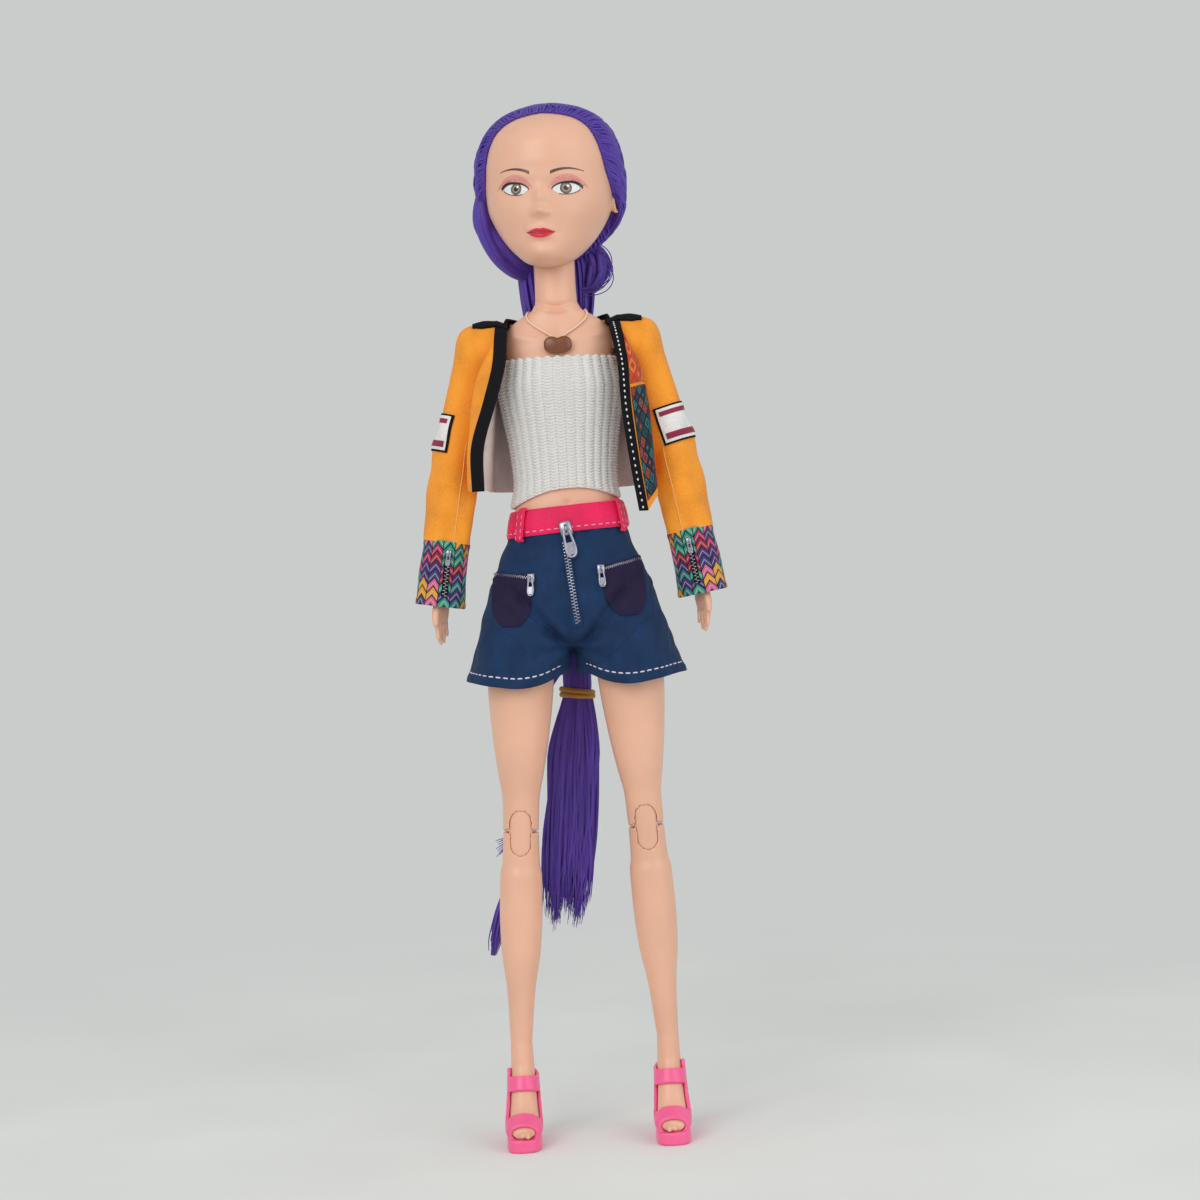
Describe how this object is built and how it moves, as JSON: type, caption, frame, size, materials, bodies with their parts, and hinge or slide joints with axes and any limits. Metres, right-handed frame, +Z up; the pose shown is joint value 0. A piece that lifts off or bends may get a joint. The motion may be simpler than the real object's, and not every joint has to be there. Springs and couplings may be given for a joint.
{
  "type": "jointed fashion doll",
  "caption": "Slim jointed fashion doll standing on tiptoe in platform shoes, with swept-back hair, tube top, cropped open jacket and shorts.",
  "frame": {"origin": "on the floor, in the middle of the footprint of the outer box", "axes": "+Z up along the body, -Y the way the doll faces, +X to its own left"},
  "size_m": [0.0882, 0.0442, 0.2999],
  "materials": {
    "skin": "semi-gloss moulded vinyl, peach",
    "hair": "rooted violet-blue fibre hair",
    "inner_plastic": "moulded joint plastic",
    "steel": "joint pins",
    "white_knit": "white ribbed knit",
    "jacket_cloth": "orange-yellow woven cloth",
    "black_trim": "black edge band",
    "printed_cloth": "cloth printed with bright geometric shapes",
    "striped_cloth": "pale patch with dark red stripes",
    "denim": "dark blue denim",
    "pink_cloth": "bright pink cotton",
    "shoe_pink": "glossy soft plastic, hot pink",
    "band_rubber": "tan rubber",
    "pendant_brown": "translucent brown plastic",
    "cord_peach": "peach cord"
  },
  "bodies": {
    "torso": {"torso_front": "skin", "torso_back": "skin", "neck_pin": "steel", "tube_top": "white_knit", "waistband": "pink_cloth", "shorts": "denim", "jacket_back": "jacket_cloth", "jacket_collar": "black_trim", "jacket_front_left": "jacket_cloth", "jacket_front_right": "jacket_cloth", "jacket_trim_left": "black_trim", "jacket_trim_right": "black_trim", "necklace_cord": "cord_peach", "pendant": "pendant_brown", "hair_bundle": "hair", "ponytail": "hair", "hair_tie": "band_rubber", "ponytail_tuft": "hair", "side_lock": "hair"},
    "neck_knob": {"neck_anchor": "inner_plastic"},
    "head": {"head": "skin", "hair_cap": "hair"},
    "shoulder_left": {"shoulder_joint_left": "inner_plastic"},
    "upper_arm_left": {"shoulder_pin_left": "steel", "upper_arm_left": "skin", "elbow_pin_left": "steel", "sleeve_left": "jacket_cloth", "sleeve_patch_left": "striped_cloth"},
    "forearm_left": {"forearm_left": "skin", "cuff_left": "printed_cloth"},
    "hand_left": {"hand_left": "skin"},
    "hip_left": {"hip_joint_left": "inner_plastic"},
    "thigh_left": {"hip_pin_left": "steel", "thigh_left": "skin", "knee_upper_pin_left": "steel"},
    "knee_left": {"knee_link_left": "skin"},
    "shin_left": {"knee_lower_pin_left": "steel", "shin_left": "skin", "shoe_left": "shoe_pink"},
    "shoulder_right": {"shoulder_joint_right": "inner_plastic"},
    "upper_arm_right": {"shoulder_pin_right": "steel", "upper_arm_right": "skin", "elbow_pin_right": "steel", "sleeve_right": "jacket_cloth", "sleeve_patch_right": "striped_cloth"},
    "forearm_right": {"forearm_right": "skin", "cuff_right": "printed_cloth"},
    "hand_right": {"hand_right": "skin"},
    "hip_right": {"hip_joint_right": "inner_plastic"},
    "thigh_right": {"hip_pin_right": "steel", "thigh_right": "skin", "knee_upper_pin_right": "steel"},
    "knee_right": {"knee_link_right": "skin"},
    "shin_right": {"knee_lower_pin_right": "steel", "shin_right": "skin", "shoe_right": "shoe_pink"}
  },
  "joints": [
    {"name": "neck_nod", "type": "hinge", "parent": "torso", "child": "neck_knob", "pos_m": [0, -0.0017, 0.25404], "axis": [1, 0, 0], "range_deg": [-10, 14], "deforming": ["hair_bundle"]},
    {"name": "head_turn", "type": "hinge", "parent": "neck_knob", "child": "head", "pos_m": [0, -0.0017, 0.25404], "axis": [0, 0, 1], "range_deg": [-70, 70], "deforming": ["hair_bundle"]},
    {"name": "shoulder_swing_left", "type": "hinge", "parent": "torso", "child": "shoulder_left", "pos_m": [0.022, -0.0017, 0.22954], "axis": [-1, 0, 0], "range_deg": [-40, 100], "deforming": ["sleeve_left", "jacket_front_left", "jacket_trim_left"]},
    {"name": "shoulder_lift_left", "type": "hinge", "parent": "shoulder_left", "child": "upper_arm_left", "pos_m": [0.022, -0.0017, 0.22954], "axis": [0, -1, 0], "range_deg": [-4, 85], "deforming": ["sleeve_left"]},
    {"name": "elbow_left", "type": "hinge", "parent": "upper_arm_left", "child": "forearm_left", "pos_m": [0.03095, -0.0017, 0.19726], "axis": [-0.9636, 0, -0.2672], "range_deg": [0, 95], "deforming": ["sleeve_left", "sleeve_patch_left"]},
    {"name": "wrist_turn_left", "type": "hinge", "parent": "forearm_left", "child": "hand_left", "pos_m": [0.03722, -0.0017, 0.15978], "axis": [0.165, 0, -0.9863], "range_deg": [-90, 90]},
    {"name": "hip_swing_left", "type": "hinge", "parent": "torso", "child": "hip_left", "pos_m": [0.015, -0.0017, 0.15204], "axis": [-1, 0, 0], "range_deg": [-12, 90], "deforming": ["shorts", "ponytail_tuft", "side_lock"]},
    {"name": "hip_spread_left", "type": "hinge", "parent": "hip_left", "child": "thigh_left", "pos_m": [0.015, -0.0017, 0.15204], "axis": [0, -1, 0], "range_deg": [-2, 30], "deforming": ["shorts"]},
    {"name": "knee_upper_left", "type": "hinge", "parent": "thigh_left", "child": "knee_left", "pos_m": [0.018, -0.0017, 0.09222], "axis": [0.9987, 0, 0.0501], "range_deg": [0, 46]},
    {"name": "knee_lower_left", "type": "hinge", "parent": "knee_left", "child": "shin_left", "pos_m": [0.01832, -0.0017, 0.08583], "axis": [0.9987, 0, 0.0501], "range_deg": [0, 46]},
    {"name": "shoulder_swing_right", "type": "hinge", "parent": "torso", "child": "shoulder_right", "pos_m": [-0.022, -0.0017, 0.22954], "axis": [-1, 0, 0], "range_deg": [-40, 100], "deforming": ["sleeve_right", "jacket_front_right", "jacket_trim_right"]},
    {"name": "shoulder_lift_right", "type": "hinge", "parent": "shoulder_right", "child": "upper_arm_right", "pos_m": [-0.022, -0.0017, 0.22954], "axis": [0, 1, 0], "range_deg": [-4, 85], "deforming": ["sleeve_right"]},
    {"name": "elbow_right", "type": "hinge", "parent": "upper_arm_right", "child": "forearm_right", "pos_m": [-0.03095, -0.0017, 0.19726], "axis": [-0.9636, 0, 0.2672], "range_deg": [0, 95], "deforming": ["sleeve_right", "sleeve_patch_right"]},
    {"name": "wrist_turn_right", "type": "hinge", "parent": "forearm_right", "child": "hand_right", "pos_m": [-0.03722, -0.0017, 0.15978], "axis": [0.165, 0, 0.9863], "range_deg": [-90, 90]},
    {"name": "hip_swing_right", "type": "hinge", "parent": "torso", "child": "hip_right", "pos_m": [-0.015, -0.0017, 0.15204], "axis": [-1, 0, 0], "range_deg": [-12, 90], "deforming": ["shorts", "ponytail_tuft", "side_lock"]},
    {"name": "hip_spread_right", "type": "hinge", "parent": "hip_right", "child": "thigh_right", "pos_m": [-0.015, -0.0017, 0.15204], "axis": [0, 1, 0], "range_deg": [-2, 30], "deforming": ["shorts"]},
    {"name": "knee_upper_right", "type": "hinge", "parent": "thigh_right", "child": "knee_right", "pos_m": [-0.018, -0.0017, 0.09222], "axis": [0.9987, 0, -0.0501], "range_deg": [0, 46]},
    {"name": "knee_lower_right", "type": "hinge", "parent": "knee_right", "child": "shin_right", "pos_m": [-0.01832, -0.0017, 0.08583], "axis": [0.9987, 0, -0.0501], "range_deg": [0, 46]}
  ]
}
